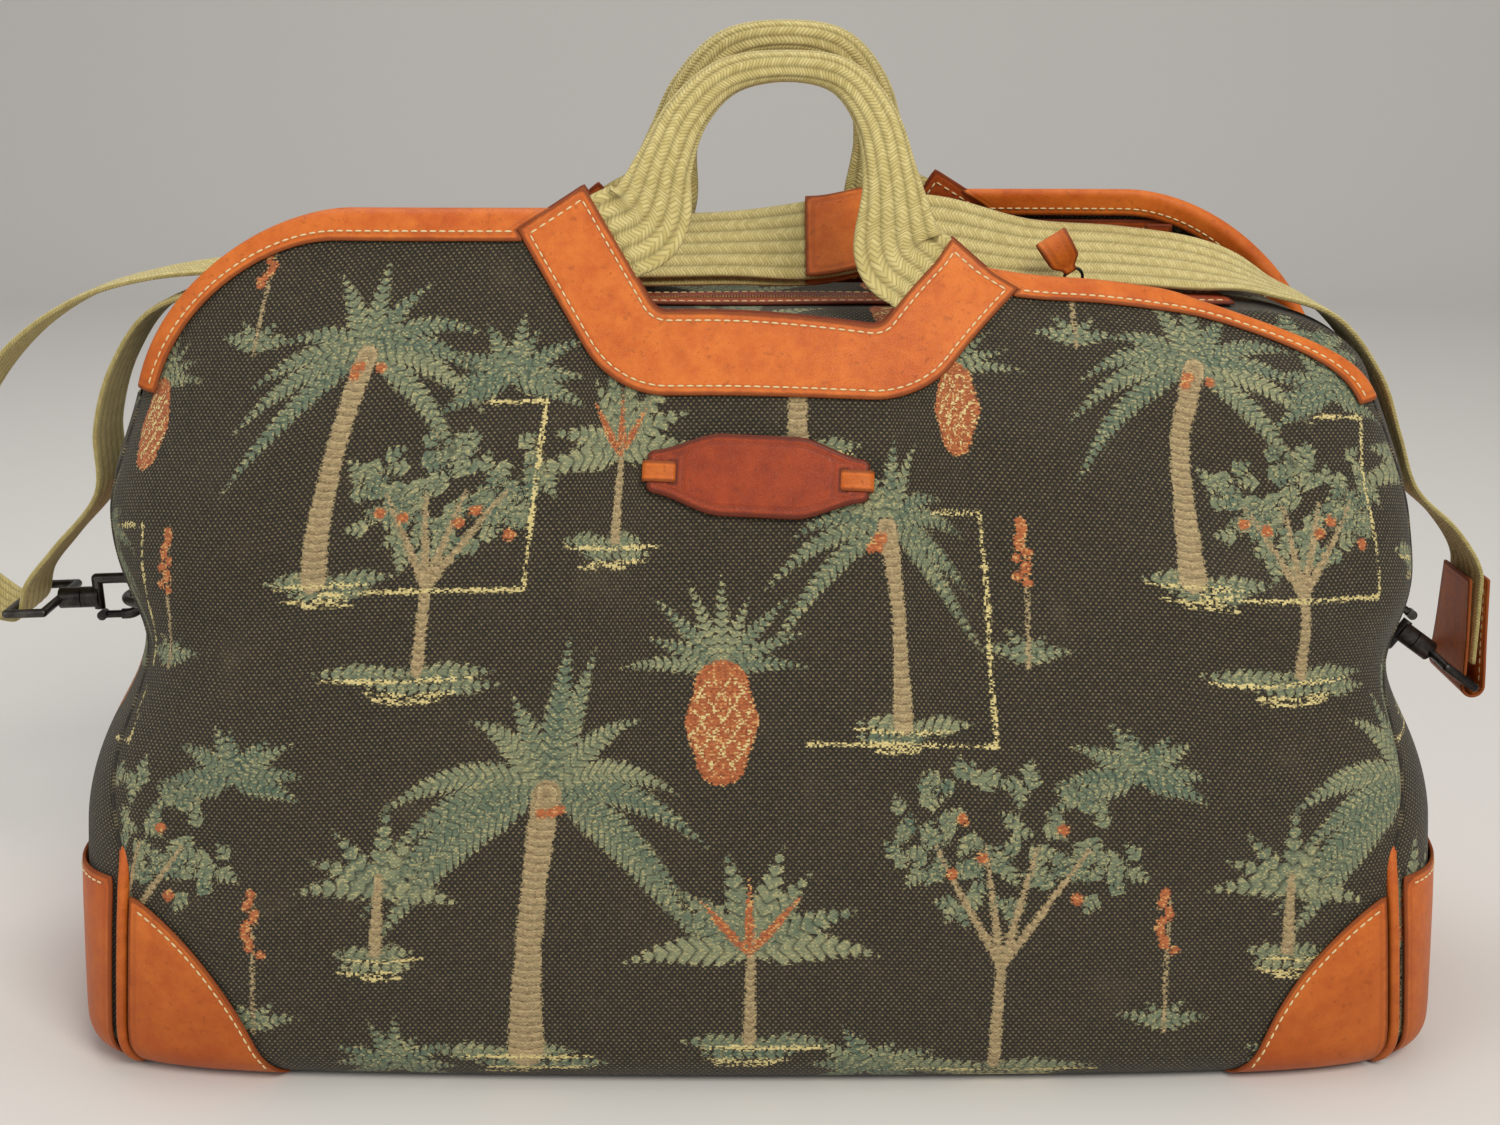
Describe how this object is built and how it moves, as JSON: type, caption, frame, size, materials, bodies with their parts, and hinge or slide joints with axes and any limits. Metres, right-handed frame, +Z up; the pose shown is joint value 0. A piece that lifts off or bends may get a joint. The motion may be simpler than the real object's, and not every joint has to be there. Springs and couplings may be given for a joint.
{
  "type": "carpet bag",
  "caption": "Soft tapestry travel bag with leather trim, webbing handles over a notched top, a recessed zip and a shoulder strap on snap hooks.",
  "frame": {"origin": "middle of the base panel, on the floor", "axes": "+X to the right end seen from the front, -Y to the front, +Z up"},
  "size_m": [0.6332, 0.2464, 0.39],
  "materials": {
    "tapestry": "woven jacquard tapestry",
    "leather": "tan, waxed",
    "tag_leather": "red-brown, glossy",
    "webbing": "ribbed cotton webbing",
    "gunmetal": "dark plated",
    "brass": "worn",
    "board": "fibre board"
  },
  "bodies": {
    "bag": {"front_panel": "tapestry", "back_panel": "tapestry", "left_end_panel": "tapestry", "right_end_panel": "tapestry", "base_panel": "tapestry", "base_board": "board", "front_top_gusset": "tapestry", "back_top_gusset": "tapestry", "front_handle_patch": "leather", "back_handle_patch": "leather", "front_inner_patch": "leather", "back_inner_patch": "leather", "front_left_binding": "leather", "front_right_binding": "leather", "back_left_binding": "leather", "back_right_binding": "leather", "front_left_facing": "leather", "front_right_facing": "leather", "back_left_facing": "leather", "back_right_facing": "leather", "front_left_piping": "leather", "front_right_piping": "leather", "back_left_piping": "leather", "back_right_piping": "leather", "front_left_corner": "leather", "front_right_corner": "leather", "back_left_corner": "leather", "back_right_corner": "leather", "left_end_patch": "leather", "right_end_patch": "leather", "front_handle": "webbing", "back_handle": "webbing", "front_zip_tape": "leather", "back_zip_tape": "leather", "zip_teeth": "brass", "left_zip_end": "leather", "right_zip_end": "leather", "left_ring_tab": "leather", "right_ring_tab": "leather", "left_hook_loop": "gunmetal", "right_hook_loop": "gunmetal", "shoulder_strap": "webbing", "strap_return": "webbing", "strap_adjuster": "gunmetal", "adjuster_tab": "leather", "right_strap_tab": "leather", "name_tag": "tag_leather", "left_tag_loop": "leather", "right_tag_loop": "leather", "inner_keeper": "leather"},
    "zip_slider": {"zip_slider": "gunmetal"},
    "zip_puller": {"zip_puller": "leather"},
    "left_ring": {"left_ring": "gunmetal"},
    "right_ring": {"right_ring": "gunmetal"},
    "left_hook": {"left_hook": "gunmetal"},
    "right_hook": {"right_hook": "gunmetal"},
    "left_gate": {"left_hook_gate": "gunmetal"},
    "right_gate": {"right_hook_gate": "gunmetal"}
  },
  "joints": [
    {"name": "zip_slide", "type": "slide", "parent": "bag", "child": "zip_slider", "axis": [1, 0, 0], "range_m": [-0.26, 0.006]},
    {"name": "pull_swing", "type": "hinge", "parent": "zip_slider", "child": "zip_puller", "pos_m": [0.128, 0, 0.2884], "axis": [0, 1, 0], "range_deg": [-48, 110]},
    {"name": "left_ring_swing", "type": "hinge", "parent": "bag", "child": "left_ring", "pos_m": [-0.2492, 0, 0.158], "axis": [0, 1, 0], "range_deg": [-9, 9]},
    {"name": "right_ring_swing", "type": "hinge", "parent": "bag", "child": "right_ring", "pos_m": [0.2492, 0, 0.158], "axis": [0, 1, 0], "range_deg": [-9, 9]},
    {"name": "left_hook_turn", "type": "hinge", "parent": "bag", "child": "left_hook", "pos_m": [-0.28338, 0, 0.15681], "axis": [-0.9994, 0, -0.0349], "range_deg": [-14, 14]},
    {"name": "right_hook_turn", "type": "hinge", "parent": "bag", "child": "right_hook", "pos_m": [0.27687, 0, 0.1379], "axis": [0.809, 0, -0.5878], "range_deg": [-14, 14]},
    {"name": "left_gate_open", "type": "hinge", "parent": "left_hook", "child": "left_gate", "pos_m": [-0.27411, 0, 0.14933], "axis": [0, -1, 0], "range_deg": [0, 22], "stiffness_Nm_per_rad": 0.05},
    {"name": "right_gate_open", "type": "hinge", "parent": "right_hook", "child": "right_gate", "pos_m": [0.27417, 0, 0.1495], "axis": [0, -1, 0], "range_deg": [0, 22], "stiffness_Nm_per_rad": 0.05}
  ]
}
